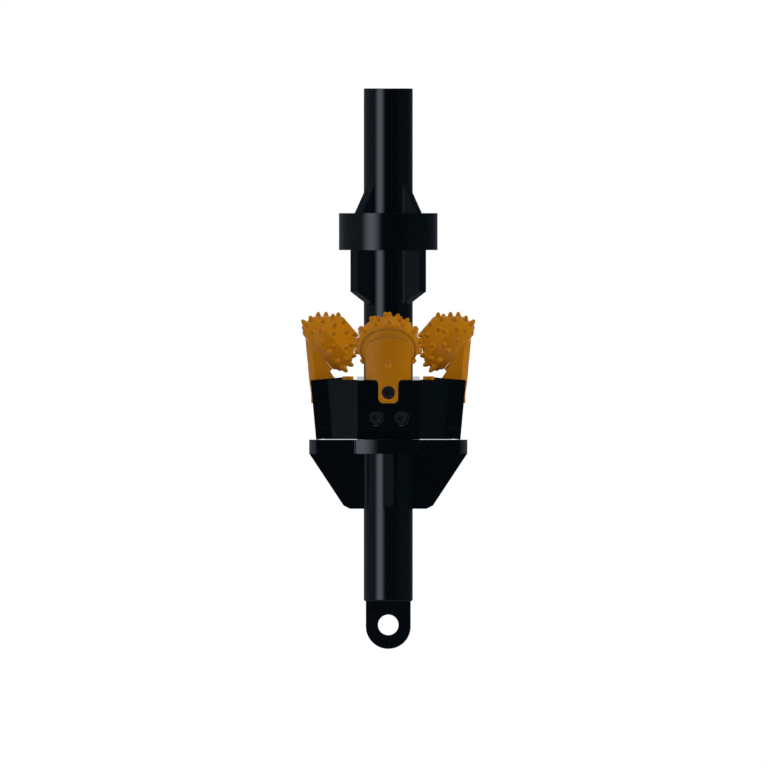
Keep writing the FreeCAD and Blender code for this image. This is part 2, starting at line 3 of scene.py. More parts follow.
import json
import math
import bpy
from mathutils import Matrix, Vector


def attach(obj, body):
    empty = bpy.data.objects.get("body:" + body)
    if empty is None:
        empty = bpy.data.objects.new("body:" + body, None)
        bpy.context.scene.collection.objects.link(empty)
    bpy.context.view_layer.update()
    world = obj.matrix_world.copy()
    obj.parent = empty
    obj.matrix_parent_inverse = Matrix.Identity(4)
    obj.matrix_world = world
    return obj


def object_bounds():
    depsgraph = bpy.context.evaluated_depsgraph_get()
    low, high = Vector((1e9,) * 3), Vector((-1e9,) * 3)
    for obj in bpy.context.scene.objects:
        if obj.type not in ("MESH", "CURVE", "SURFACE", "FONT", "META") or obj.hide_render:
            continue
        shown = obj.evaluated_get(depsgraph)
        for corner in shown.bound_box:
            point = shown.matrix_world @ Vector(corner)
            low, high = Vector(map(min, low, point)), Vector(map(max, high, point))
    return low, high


bl_info = {
    "name": "Hole Opener Finish",
    "version": (1, 0, 0),
    "blender": (4, 5, 0),
    "location": "3D View > Sidebar > Hole Opener",
    "description": "Paints the hole opener's pieces, cuts its box thread and sets up a plain studio",
    "category": "Object",
}

import bpy
from bpy.props import FloatProperty, FloatVectorProperty, IntProperty, PointerProperty
from mathutils import Vector

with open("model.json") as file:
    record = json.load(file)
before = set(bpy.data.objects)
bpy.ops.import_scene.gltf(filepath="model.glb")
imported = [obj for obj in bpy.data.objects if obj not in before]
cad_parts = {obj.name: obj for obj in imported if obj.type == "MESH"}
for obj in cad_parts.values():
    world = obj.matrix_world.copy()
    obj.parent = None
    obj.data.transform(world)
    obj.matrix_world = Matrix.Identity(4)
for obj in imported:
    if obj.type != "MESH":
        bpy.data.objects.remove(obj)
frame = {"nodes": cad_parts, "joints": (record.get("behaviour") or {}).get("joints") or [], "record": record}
cad_low, cad_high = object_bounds()

MM = 0.001
CUTTERS = (1, 2, 3, 4)
CONE_JOINTS = [next(j for j in frame["joints"] if j["name"] == f"cone_spin_{k}") for k in CUTTERS]
BOX_MOUNT = next(m for m in frame["record"]["mounts"] if m["name"] == "drill_pipe_box")
COUNTERBORE_DEPTH = BOX_MOUNT["dims"]["length_mm"] * MM
COUNTERBORE_RADIUS = BOX_MOUNT["dims"]["r_mm"] * MM

# How far past the counterbore's wall, and below the shoulder, the shaft's steel is bare
BARE_WALL = 0.5 * MM
BARE_SHOULDER = 0.2 * MM

# A cone's bearing and gauge step, by their place along its joint's axis and their distance from it.
# The gauge step's painted shade fades in over the first stretch of the step and out over the second
BEARING_START = -0.3 * MM
BEARING_END = 100.0 * MM
BEARING_RADIUS = 59.0 * MM
STEP_START = (9.0 * MM, 10.6 * MM)
STEP_END = (11.6 * MM, 13.0 * MM)
STEP_RADIUS = 85.0 * MM

# How much each enamel's tone drifts, and how strongly it bends light
BLACK_DRIFT = 0.12
ORANGE_DRIFT = 0.07
BLACK_IOR = 1.5
ORANGE_IOR = 1.3

# The most that dust, wear, the painted highlight along edges and the painted shade in the gauge step cover
# of the colour under them
DUST_SHARE = 0.25
WEAR_SHARE = 0.3
EDGE_HIGHLIGHT_SHARE = 0.7
STEP_SHADE_SHARE = 0.3

# The levels of noise between which dust, wear and the painted highlight along edges come to show in full
DUST_LEVELS = (0.66, 0.74)
WEAR_LEVELS = (0.5, 0.62)
EDGE_HIGHLIGHT_LEVELS = (0.3, 0.6)

# The least of the painted highlight along an edge, and how much wider it is than the edge's rounding
EDGE_HIGHLIGHT_LEAST = 0.6
EDGE_HIGHLIGHT_SPREAD = 1.6

# Where an edge starts and where it is full, as 1 minus the cosine of the rounded normal's turn
EDGE_TURN = (0.02, 0.25)

# How much lower the roughness of the bearings' steel is than the enamel's
BEARING_POLISH = 0.14

# How far a steel or rubber piece rounds its edges, and the depth of its fine relief
STEEL_EDGE = 0.6 * MM
RUBBER_EDGE = 0.3 * MM
RELIEF_DEPTH = 0.02 * MM

# The darkest and the lightest shade of the stained metals and of the turned bore
STAIN_SHADES = (0.82, 1.12)
BORE_SHADES = (0.8, 1.15)

# Roughness of the turned bore, and of the rubber where it has no bloom
BORE_ROUGHNESS = 0.3
RUBBER_ROUGHNESS = 0.6

# Widths of the marks, patches and grains in the bare finishes and the floor
BORE_LAY_WIDTH = 12.0 * MM
STAIN_WIDTH = 20.0 * MM
BLOOM_WIDTH = 8.0 * MM
RUBBER_GRAIN_WIDTH = 1.2 * MM
FLOOR_GRAIN_WIDTH = 4.0 * MM

# Each fill lamp's name, the way to it, and its share of the fill light
FILL_LAMPS = (
    ("right_fill", (0.98, -0.1, 0.15), 1.08),
    ("left_fill", (-0.98, -0.1, 0.15), 0.56),
    ("left_front_fill", (-0.7, -0.7, 0.1), 0.2),
    ("top_fill", (0.0, -0.3, 0.95), 0.64),
    ("low_fill", (0.0, -0.3, -0.95), 0.12),
    ("back_fill", (0.0, 1.0, 0.1), 0.45),
)
TOWARD_SHADOW_LAMP = (-0.1, 0.5, 0.85)

# The mirrored room: where its parts fade in or out. The rear wall and the back card start at a
# heading from the front, the dark card and the strip end at a heading from their own middle, and
# the other places are sines of the height
REAR_WALL_START = (math.radians(100), math.radians(150))
BACK_CARD_START = (math.radians(158), math.radians(172))
DARK_CARD_END = (math.radians(24), math.radians(48))
STRIP_END = (math.radians(2), math.radians(27))
BACK_CARD_FOOT = (0.02, 0.12)
BACK_CARD_TOP = (0.22, 0.4)
WALL_END = (0.75, 0.95)
CEILING_START = (0.92, 1.0)
GROUND_START = (-0.7, -0.95)

# How much of the wall's light the dark card takes
DARK_CARD_SHARE = 0.9

# The floor lies a little under the object, and fades into white between two shares of its radius
FLOOR_GAP = 1.0 * MM
FLOOR_FADE = (0.35, 0.95)
FLOOR_DARK = (0.74, 0.74, 0.74)
FLOOR_LIGHT = (0.78, 0.78, 0.78)

WHITE = (1.0, 1.0, 1.0)
CAMERA_DISTANCE = 8.0


class EnamelSettings(bpy.types.PropertyGroup):
    """Colours and surface of the two sprayed enamels"""

    black: FloatVectorProperty(
        name="Black", description="Colour of the body's gloss enamel",
        subtype="COLOR", size=3, min=0.0, max=1.0, default=(0.0009, 0.0023, 0.0034))
    worn_black: FloatVectorProperty(
        name="Worn black", description="Colour of the black enamel where an edge has worn it",
        subtype="COLOR", size=3, min=0.0, max=1.0, default=(0.09, 0.085, 0.08))
    orange: FloatVectorProperty(
        name="Orange", description="Colour of the cutters' enamel",
        subtype="COLOR", size=3, min=0.0, max=1.0, default=(0.3, 0.109, 0.0015))
    # Painted highlight: the paler colour laid along the orange enamel's edges, patchy like thinned paint
    orange_edge_highlight: FloatVectorProperty(
        name="Orange edge", description="Colour of the orange enamel where an edge has thinned it",
        subtype="COLOR", size=3, min=0.0, max=1.0, default=(0.44, 0.21, 0.06))
    # Painted shade: the darker colour laid in a cone's gauge step
    step_shade: FloatVectorProperty(
        name="Grime", description="Colour of the grime in a cone's gauge step",
        subtype="COLOR", size=3, min=0.0, max=1.0, default=(0.1, 0.04, 0.006))
    dust: FloatVectorProperty(
        name="Dust", description="Colour of the specks of dust in the enamel",
        subtype="COLOR", size=3, min=0.0, max=1.0, default=(0.11, 0.1, 0.09))
    black_roughness: FloatProperty(
        name="Black roughness", description="Roughness of the black enamel",
        subtype="FACTOR", min=0.02, max=1.0, default=0.13)
    orange_roughness: FloatProperty(
        name="Orange roughness", description="Roughness of the orange enamel",
        subtype="FACTOR", min=0.02, max=1.0, default=0.36)
    drift_width: FloatProperty(
        name="Drift width", description="Width of the slow changes in the enamel's tone",
        unit="LENGTH", min=0.01, max=1.0, default=160.0 * MM)
    patch_width: FloatProperty(
        name="Patch width", description="Width of the patches in which gloss and wear vary",
        unit="LENGTH", min=0.001, max=0.1, default=12.0 * MM)
    speck_width: FloatProperty(
        name="Speck width", description="Width of the specks of dust",
        unit="LENGTH", min=0.0002, max=0.01, default=1.6 * MM)
    peel_width: FloatProperty(
        name="Peel width", description="Width of the ripples that a spray gun leaves",
        unit="LENGTH", min=0.0005, max=0.02, default=4.5 * MM)
    peel_depth: FloatProperty(
        name="Peel depth", description="Depth of the ripples that a spray gun leaves",
        unit="LENGTH", min=0.0, max=0.001, precision=6, default=0.012 * MM)
    edge_radius: FloatProperty(
        name="Edge radius", description="How far the enamel rounds a sharp edge",
        unit="LENGTH", min=0.0, max=0.01, default=1.4 * MM)


class BareSettings(bpy.types.PropertyGroup):
    """Colours of the bare metals and the seals"""

    box_steel: FloatVectorProperty(
        name="Box steel", description="Turned steel of the tool-joint box and the bore",
        subtype="COLOR", size=3, min=0.0, max=1.0, default=(0.3, 0.295, 0.285))
    thread_steel: FloatVectorProperty(
        name="Thread steel", description="Steel of the box thread",
        subtype="COLOR", size=3, min=0.0, max=1.0, default=(0.2, 0.2, 0.195))
    bearing_steel: FloatVectorProperty(
        name="Bearing steel", description="Steel of the journals and of the cones' bores",
        subtype="COLOR", size=3, min=0.0, max=1.0, default=(0.4, 0.4, 0.39))
    ground_steel: FloatVectorProperty(
        name="Ground steel", description="Steel of the rollers and the locking balls",
        subtype="COLOR", size=3, min=0.0, max=1.0, default=(0.56, 0.56, 0.58))
    black_oxide: FloatVectorProperty(
        name="Black oxide", description="Black oxide of the cutter screws",
        subtype="COLOR", size=3, min=0.0, max=1.0, default=(0.006, 0.0064, 0.0066))
    bronze: FloatVectorProperty(
        name="Bronze", description="Bronze of the pilot bushes and the thrust washers",
        subtype="COLOR", size=3, min=0.0, max=1.0, default=(0.52, 0.31, 0.13))
    rubber: FloatVectorProperty(
        name="Rubber", description="Rubber of the round seals",
        subtype="COLOR", size=3, min=0.0, max=1.0, default=(0.012, 0.012, 0.013))
    rubber_bloom: FloatVectorProperty(
        name="Rubber bloom", description="Paler bloom on the seals' rubber",
        subtype="COLOR", size=3, min=0.0, max=1.0, default=(0.03, 0.03, 0.031))


class ThreadSettings(bpy.types.PropertyGroup):
    """The tapered thread in the tool-joint box"""

    pitch: FloatProperty(
        name="Pitch", description="Rise of the thread in one turn, 4 threads to the inch",
        unit="LENGTH", min=0.002, max=0.02, default=6.35 * MM)
    depth: FloatProperty(
        name="Depth", description="Height of the ridge from the box wall to its crest",
        unit="LENGTH", min=0.0005, max=0.01, default=3.1 * MM)
    root_width: FloatProperty(
        name="Root width", description="Width of the ridge at the wall",
        unit="LENGTH", min=0.001, max=0.02, default=5.6 * MM)
    crest_width: FloatProperty(
        name="Crest width", description="Width of the flat crest",
        unit="LENGTH", min=0.0002, max=0.01, default=1.65 * MM)
    mouth_radius: FloatProperty(
        name="Mouth radius", description="Radius of the wall's taper where it meets the shoulder plane",
        unit="LENGTH", min=0.01, max=0.2, default=66.675 * MM)
    taper: FloatProperty(
        name="Taper", description="Change of the wall's radius for each unit of depth",
        min=0.0, max=0.5, default=1.0 / 12.0)
    turns: IntProperty(
        name="Turns", description="Whole turns of the thread", min=1, max=60, default=16)
    steps: IntProperty(
        name="Steps", description="Steps in one turn of the thread", min=12, max=256, default=72)


class StageSettings(bpy.types.PropertyGroup):
    """Camera, floor and light"""

    view_width: FloatProperty(
        name="View width", description="Width of the view at the object",
        unit="LENGTH", min=0.5, max=20.0, default=2.63785)
    aim_across: FloatProperty(
        name="Aim across", description="Where the view's middle lies along X",
        unit="LENGTH", min=-2.0, max=2.0, default=-0.0146)
    aim_height: FloatProperty(
        name="Aim height", description="Where the view's middle lies along Z",
        unit="LENGTH", min=-4.0, max=2.0, default=-1.0153)
    floor_radius: FloatProperty(
        name="Floor radius", description="Radius of the pale floor under the object",
        unit="LENGTH", min=0.5, max=10.0, default=1.9)
    even_light: FloatProperty(
        name="Even light", description="Strength of the soft light from all round",
        min=0.0, max=5.0, default=0.1)
    top_light: FloatProperty(
        name="Top light", description="How much more of the soft light comes from above",
        min=0.0, max=5.0, default=0.03)
    fill_light: FloatProperty(
        name="Fill light", description="Strength of the fill lamps, which cast no shadow",
        min=0.0, max=5.0, default=1.0)
    shadow_light: FloatProperty(
        name="Shadow light", description="Strength of the lamp that casts the floor's shadow",
        min=0.0, max=5.0, default=0.25)
    lamp_spread: FloatProperty(
        name="Lamp spread", description="Angle that each lamp takes up as the object sees it",
        subtype="ANGLE", min=0.0, max=math.pi, default=math.radians(60))


class RoomSettings(bpy.types.PropertyGroup):
    """The room that gloss surfaces mirror. Headings go from the front towards the right"""

    tint: FloatVectorProperty(
        name="Tint", description="Colour of the room, apart from the card at the back",
        subtype="COLOR", size=3, min=0.0, max=1.0, default=(0.76, 0.87, 1.0))
    wall: FloatProperty(
        name="Wall", description="Brightness of the wall straight in front, apart from the dark card",
        min=0.0, max=20.0, default=0.085)
    wall_slope: FloatProperty(
        name="Wall slope", description="How much darker the wall is on the right and brighter on the left",
        min=0.0, max=20.0, default=0.06)
    rear_wall: FloatProperty(
        name="Rear wall", description="How much brighter the wall is behind the object",
        min=0.0, max=20.0, default=0.035)
    dark_card_heading: FloatProperty(
        name="Dark card heading", description="Where the dark card stands",
        subtype="ANGLE", min=-math.pi, max=math.pi, default=math.radians(12))
    strip: FloatProperty(
        name="Strip", description="Brightness of the tall soft strip",
        min=0.0, max=20.0, default=2.3)
    strip_heading: FloatProperty(
        name="Strip heading", description="Where the strip stands",
        subtype="ANGLE", min=-math.pi, max=math.pi, default=math.radians(-40.5))
    back_card: FloatProperty(
        name="Back card", description="Brightness of the low white card behind the object",
        min=0.0, max=20.0, default=0.8)
    ceiling: FloatProperty(
        name="Ceiling", description="Brightness right above the object",
        min=0.0, max=20.0, default=1.8)
    ground: FloatProperty(
        name="Ground", description="Brightness right below the object",
        min=0.0, max=20.0, default=0.16)


class Value:
    """An output socket of a node tree. Arithmetic on it adds Math nodes."""

    def __init__(self, tree, socket):
        self.tree = tree
        self.socket = socket

    def math(self, operation, *values):
        return self.tree.add("Math", {"operation": operation}, values)

    def __add__(self, other):
        return self.math("ADD", self, other)

    __radd__ = __add__

    def __sub__(self, other):
        return self.math("SUBTRACT", self, other)

    def __rsub__(self, other):
        return self.math("SUBTRACT", other, self)

    def __mul__(self, other):
        return self.math("MULTIPLY", self, other)

    __rmul__ = __mul__

    def __gt__(self, other):
        return self.math("GREATER_THAN", self, other)

    def __lt__(self, other):
        return self.math("LESS_THAN", self, other)

    def __abs__(self):
        return self.math("ABSOLUTE", self)

    def either(self, other):
        return self.math("MAXIMUM", self, other)

    def rise(self, start, end, low=0.0, high=1.0):
        """Go smoothly from low at start to high at end, and stay there on both sides."""
        return self.tree.add("MapRange", {"interpolation_type": "SMOOTHSTEP"}, {
            "Value": self, "From Min": start, "From Max": end, "To Min": low, "To Max": high})

    def fall(self, start, end):
        """Go smoothly from 1 at start to 0 at end."""
        return self.rise(start, end, 1.0, 0.0)


class Tree:
    """The node tree of a material or of the world."""

    def __init__(self, owner):
        owner.use_nodes = True
        self.nodes = owner.node_tree.nodes
        self.links = owner.node_tree.links
        self.nodes.clear()

    def add(self, kind, settings=None, sockets=None, out=0):
        """Add a node: its settings first, then its sockets' values or links. Returns one output."""
        node = self.nodes.new("ShaderNode" + kind)
        for name, value in (settings or {}).items():
            setattr(node, name, value)
        pairs = sockets.items() if isinstance(sockets, dict) else enumerate(sockets or ())
        for key, value in pairs:
            if isinstance(value, Value):
                self.links.new(value.socket, node.inputs[key])
            else:
                node.inputs[key].default_value = value
        if not node.outputs:
            return None
        return Value(self, node.outputs[out])

    def vector(self, operation, *values):
        """Vector maths whose result is a vector."""
        return self.add("VectorMath", {"operation": operation}, values)

    def measure(self, operation, *values):
        """Vector maths whose result is a number."""
        return self.add("VectorMath", {"operation": operation}, values, out="Value")

    def split(self, vector):
        """The X, Y and Z of a vector."""
        node = self.add("SeparateXYZ", None, [vector]).socket.node
        return [Value(self, socket) for socket in node.outputs]

    def place(self):
        """Where a point lies on its piece."""
        return self.add("TexCoord", out="Object")

    def ray(self, kind):
        """1 for rays of a kind, such as those that come from the camera, and 0 for others."""
        return self.add("LightPath", out=f"Is {kind} Ray")

    def noise(self, place, width, detail=2.0):
        """Noise whose patches are about as wide as given, in metres."""
        return self.add("TexNoise", None, {
            "Vector": place, "Scale": 1.0 / width, "Detail": detail, "Roughness": 0.5}, out="Fac")

    def turned(self, place, width, squeeze, detail):
        """Noise whose patches are squeezed along Z, like the marks of turning."""
        squeezed = self.add("Mapping", None, {"Vector": place, "Scale": (1.0, 1.0, squeeze)})
        return self.noise(squeezed, width, detail=detail)

    def blend(self, share, first, second):
        """Mix two colours by a share from 0 to 1."""
        node = self.nodes.new("ShaderNodeMix")
        node.data_type = "RGBA"
        colours = [s for s in node.inputs if s.type == "RGBA"]
        self.links.new(share.socket, node.inputs[0])
        for socket, value in zip(colours, (first, second)):
            if isinstance(value, Value):
                self.links.new(value.socket, socket)
            else:
                socket.default_value = (*value, 1.0)
        return Value(self, next(s for s in node.outputs if s.type == "RGBA"))

    def off_centre(self, place):
        """How far a point stands off the Z axis."""
        return self.measure("LENGTH", self.vector("MULTIPLY", place, (1.0, 1.0, 0.0)))

    def round_axis(self, place, pivot, axis):
        """How far a point lies along an axis from its pivot, and how far it stands off the axis."""
        offset = self.vector("SUBTRACT", place, tuple(pivot))
        along = self.measure("DOT_PRODUCT", offset, tuple(axis))
        return along, self.measure("LENGTH", self.vector("CROSS_PRODUCT", offset, tuple(axis)))

    def soft_normal(self, radius):
        """The surface's normal with its edges rounded by a radius."""
        return self.add("Bevel", {"samples": 4}, {"Radius": radius})

    def relief_normal(self, radius, height, depth):
        """The normal with rounded edges and a fine relief."""
        return self.add("Bump", None, {
            "Strength": 1.0, "Distance": depth, "Height": height, "Normal": self.soft_normal(radius)})

    def edge_share(self, radius):
        """How near a point is to a sharp edge, from 0 on a flat to about 1 on the edge."""
        flat = self.add("NewGeometry", out="Normal")
        match = self.measure("DOT_PRODUCT", self.soft_normal(radius), flat)
        return (1.0 - match).rise(*EDGE_TURN)

    def show(self, shader):
        self.add("OutputMaterial", None, {"Surface": shader})


def shades(colour, factors):
    """A colour made darker or lighter by each factor."""
    return [tuple(min(1.0, c * factor) for c in colour) for factor in factors]


def new_material(name):
    material = bpy.data.materials.new(name)
    return material, Tree(material)


def spray(tree, place, colour, roughness, drift, settings):
    """Sprayed enamel: its colour with drift and dust, its gloss, the gun's ripples and fine patches."""
    slow = tree.noise(place, settings.drift_width, detail=4.0)
    fine = tree.noise(place, settings.patch_width, detail=3.0)
    ripple = tree.noise(place, settings.peel_width, detail=1.0)
    specks = tree.noise(place, settings.speck_width).rise(*DUST_LEVELS)
    body = tree.blend(slow, *shades(colour, (1.0 - drift, 1.0 + drift)))
    dusty = tree.blend(specks * slow * DUST_SHARE, body, settings.dust)
    gloss = roughness * (1.0 + (slow - 0.5) * 0.5 + (fine - 0.5) * 0.3)
    return dusty, gloss, ripple, fine


def spray_black(tree, place, settings):
    return spray(tree, place, settings.black, settings.black_roughness, BLACK_DRIFT, settings)


def make_black_enamel(settings):
    """Gloss black with edges that are worn here and there."""
    material, tree = new_material("black_enamel")
    paint, gloss, ripple, fine = spray_black(tree, tree.place(), settings)
    worn = tree.edge_share(settings.edge_radius) * fine.rise(*WEAR_LEVELS)
    tree.show(tree.add("BsdfPrincipled", None, {
        "Base Color": tree.blend(worn * WEAR_SHARE, paint, settings.worn_black),
        "Roughness": gloss + worn * 0.1,
        "IOR": BLACK_IOR,
        "Normal": tree.relief_normal(settings.edge_radius, ripple, settings.peel_depth)}))
    return material


def add_bearing_and_step_shade(tree, place, joint, colour, enamel, bare):
    """Painted shade in the gauge step and bare steel in the bearing. Returns the steel's mask as well."""
    along, radius = tree.round_axis(place, joint["pos_m"], joint["axis"])
    # Painted shade: the gauge step is darkened, where it faces down and away from the light
    step = along.rise(*STEP_START) * along.fall(*STEP_END) * (radius > STEP_RADIUS)
    step_shaded = tree.blend(step * STEP_SHADE_SHARE, colour, enamel.step_shade)
    steel = (radius < BEARING_RADIUS) * (along < BEARING_END) * (along > BEARING_START)
    return tree.blend(steel, step_shaded, bare.bearing_steel), steel


def make_orange_enamel(name, enamel, bare, joint=None):
    """Satin orange with a painted highlight along its edges, and round a cone's joint its bearing's steel
    and painted shade in the gauge step.
    """
    material, tree = new_material(name)
    place = tree.place()
    paint, gloss, ripple, fine = spray(
        tree, place, enamel.orange, enamel.orange_roughness, ORANGE_DRIFT, enamel)
    # Paler edges: a painted highlight along every edge, patchy like thinned paint
    edge_highlight = tree.edge_share(enamel.edge_radius * EDGE_HIGHLIGHT_SPREAD) * fine.rise(*EDGE_HIGHLIGHT_LEVELS, low=EDGE_HIGHLIGHT_LEAST)
    colour = tree.blend(edge_highlight * EDGE_HIGHLIGHT_SHARE, paint, enamel.orange_edge_highlight)
    steel = 0.0
    if joint:
        colour, steel = add_bearing_and_step_shade(tree, place, joint, colour, enamel, bare)
        gloss = gloss - steel * BEARING_POLISH
    tree.show(tree.add("BsdfPrincipled", None, {
        "Base Color": colour,
        "Roughness": gloss,
        "Metallic": steel,
        "IOR": ORANGE_IOR,
        "Normal": tree.relief_normal(enamel.edge_radius, ripple, enamel.peel_depth)}))
    return material


def make_shaft_finish(enamel, bare):
    """Black enamel outside, and bare machined steel on the box shoulder and down the bore."""
    material, tree = new_material("shaft_finish")
    place = tree.place()
    height = tree.split(place)[2]
    inside = tree.off_centre(place) < COUNTERBORE_RADIUS + BARE_WALL
    steel = inside.either(height > -BARE_SHOULDER)
    painted = 1.0 - steel
    paint, gloss, ripple, fine = spray_black(tree, place, enamel)
    turned = tree.turned(place, BORE_LAY_WIDTH, squeeze=40.0, detail=2.0)
    metal = tree.blend(fine, *shades(bare.box_steel, BORE_SHADES))
    machined = BORE_ROUGHNESS + (turned - 0.5) * 0.2
    relief = ripple * painted + turned * steel
    tree.show(tree.add("BsdfPrincipled", None, {
        "Base Color": tree.blend(steel, paint, metal),
        "Metallic": steel,
        "Roughness": painted * gloss + steel * machined,
        "IOR": BLACK_IOR,
        "Normal": tree.relief_normal(enamel.edge_radius, relief, enamel.peel_depth)}))
    return material


def make_steel(name, colour, roughness, lay_width, metallic=1.0):
    """Machined, ground or oxide-black metal with fine turning marks and a little stain."""
    material, tree = new_material(name)
    place = tree.place()
    lay = tree.turned(place, lay_width, squeeze=12.0, detail=3.0)
    stain = tree.noise(place, STAIN_WIDTH, detail=4.0)
    tree.show(tree.add("BsdfPrincipled", None, {
        "Base Color": tree.blend(stain, *shades(colour, STAIN_SHADES)),
        "Metallic": metallic,
        "Roughness": roughness + (lay - 0.5) * 0.12 + stain * 0.06,
        "Normal": tree.relief_normal(STEEL_EDGE, lay, RELIEF_DEPTH)}))
    return material


def make_rubber(bare):
    """Matt black rubber with a little bloom."""
    material, tree = new_material("seal_rubber")
    place = tree.place()
    bloom = tree.noise(place, BLOOM_WIDTH, detail=3.0)
    grain = tree.noise(place, RUBBER_GRAIN_WIDTH)
    tree.show(tree.add("BsdfPrincipled", None, {
        "Base Color": tree.blend(bloom, bare.rubber, bare.rubber_bloom),
        "Roughness": RUBBER_ROUGHNESS + bloom * 0.2,
        "Normal": tree.relief_normal(RUBBER_EDGE, grain, RELIEF_DEPTH)}))
    return material


def dress(names, material):
    """Give CAD nodes a material in their slots."""
    for name in names:
        node = frame["nodes"][name]
        if not node.material_slots:
            raise RuntimeError(f"{name} has no material slot")
        for slot in node.material_slots:
            slot.material = material


def keep_out_of_gloss(names):
    """Gloss surfaces mirror the room but not these nodes."""
    for name in names:
        frame["nodes"][name].visible_glossy = False


def numbered(*stems):
    return [f"{stem}_{k}" for stem in stems for k in CUTTERS]


def make_only(obj):
    """Deselect everything, then select this object and make it active."""
    bpy.ops.object.select_all(action="DESELECT")
    obj.select_set(True)
    bpy.context.view_layer.objects.active = obj


def apply_last_modifier(obj):
    bpy.ops.object.modifier_apply(modifier=obj.modifiers[-1].name)


def model_ridge_profile(radius, settings):
    """The closed outline of the thread's ridge, upright on the XZ plane at the wall's radius."""
    sunk = 0.3 * MM
    width = settings.depth + sunk
    bpy.ops.object.select_all(action="DESELECT")
    bpy.ops.mesh.primitive_plane_add(size=1.0, rotation=(math.pi / 2, 0.0, 0.0))
    ridge = bpy.context.object
    ridge.name = "box_thread"
    bpy.ops.object.transform_apply(location=False, rotation=True, scale=False)
    ridge.scale = (width, 1.0, settings.root_width)
    bpy.ops.object.transform_apply(location=False, rotation=False, scale=True)
    bpy.ops.object.mode_set(mode="EDIT")
    bpy.ops.mesh.select_mode(type="VERT")
    bpy.ops.mesh.select_all(action="DESELECT")
    bpy.ops.object.mode_set(mode="OBJECT")
    for vertex in ridge.data.vertices:
        vertex.select = vertex.co.x < 0.0
    bpy.ops.object.mode_set(mode="EDIT")
    bpy.ops.transform.resize(value=(1.0, 1.0, settings.crest_width / settings.root_width))
    bpy.ops.mesh.select_all(action="SELECT")
    bpy.ops.transform.translate(value=(radius + sunk - width / 2, 0.0, 0.0))
    bpy.ops.mesh.delete(type="ONLY_FACE")
    bpy.ops.object.mode_set(mode="OBJECT")
    return ridge


def model_box_thread(settings):
    """A right-hand helix of the ridge's outline, tapered to the box wall, below the counterbore."""
    length = settings.pitch * settings.turns
    middle = COUNTERBORE_DEPTH + settings.root_width + length / 2
    wall = settings.mouth_radius - middle * settings.taper
    ridge = model_ridge_profile(wall, settings)
    make_only(ridge)
    bpy.ops.object.modifier_add(type="SCREW")
    helix = ridge.modifiers[-1]
    helix.screw_offset = settings.pitch
    helix.iterations = settings.turns
    helix.steps = settings.steps
    helix.render_steps = settings.steps
    apply_last_modifier(ridge)
    bpy.ops.object.mode_set(mode="EDIT")
    bpy.ops.mesh.select_all(action="SELECT")
    bpy.ops.mesh.remove_doubles(threshold=0.01 * MM)
    bpy.ops.mesh.fill_holes(sides=4)
    bpy.ops.transform.translate(value=(0.0, 0.0, -length / 2))
    bpy.ops.mesh.select_all(action="SELECT")
    bpy.ops.mesh.normals_make_consistent(inside=False)
    bpy.ops.object.mode_set(mode="OBJECT")
    bpy.ops.object.modifier_add(type="SIMPLE_DEFORM")
    cone = ridge.modifiers[-1]
    cone.deform_method = "TAPER"
    cone.deform_axis = "Z"
    cone.factor = (length + settings.root_width) * settings.taper / wall
    apply_last_modifier(ridge)
    bpy.ops.object.mode_set(mode="EDIT")
    bpy.ops.mesh.select_all(action="SELECT")
    bpy.ops.transform.translate(value=(0.0, 0.0, -middle))
    bpy.ops.object.mode_set(mode="OBJECT")
    bpy.ops.object.shade_smooth_by_angle(angle=math.radians(20))
    return ridge


def make_floor_finish(radius):
    """A pale floor that keeps the object's shadow and fades into the white background."""
    material, tree = new_material("pale_floor")
    place = tree.place()
    grain = tree.noise(place, FLOOR_GRAIN_WIDTH)
    pale = tree.blend(grain, FLOOR_DARK, FLOOR_LIGHT)
    start, end = (share * radius for share in FLOOR_FADE)
    fade = tree.off_centre(place).rise(start, end) * tree.ray("Camera")
    matt = tree.add("BsdfDiffuse", None, {"Color": pale})
    white = tree.add("Emission", None, {"Color": (*WHITE, 1.0), "Strength": 1.0})
    tree.show(tree.add("MixShader", None, [fade, matt, white]))
    return material


def model_floor(settings):
    """A round floor just under the object."""
    bpy.ops.object.select_all(action="DESELECT")
    bpy.ops.mesh.primitive_circle_add(
        vertices=96, radius=settings.floor_radius, fill_type="NGON",
        location=(0.0, 0.0, cad_low.z - FLOOR_GAP))
    floor = bpy.context.object
    floor.name = "floor"
    bpy.ops.object.transform_apply(location=True, rotation=False, scale=False)
    floor.data.materials.append(make_floor_finish(settings.floor_radius))
    floor.visible_glossy = False


def mirrored_room(x, y, z, room):
    """How bright the mirrored room is towards a direction, and the share of its white back card."""
    heading = x.math("ARCTAN2", x, y * -1.0)
    turn = abs(heading)
    wall = room.wall - room.wall_slope * x + turn.rise(*REAR_WALL_START) * room.rear_wall
    dark_card = abs(heading - room.dark_card_heading).fall(*DARK_CARD_END)
    strip = abs(heading - room.strip_heading).fall(*STRIP_END)
    back_card = turn.rise(*BACK_CARD_START) * z.rise(*BACK_CARD_FOOT) * z.fall(*BACK_CARD_TOP)
    wall = wall * (1.0 - dark_card * DARK_CARD_SHARE)
    sides = wall + strip * room.strip + back_card * room.back_card
    ceiling = z.rise(*CEILING_START) * room.ceiling
    ground = z.rise(*GROUND_START) * room.ground
    return sides * abs(z).fall(*WALL_END) + ceiling + ground, back_card


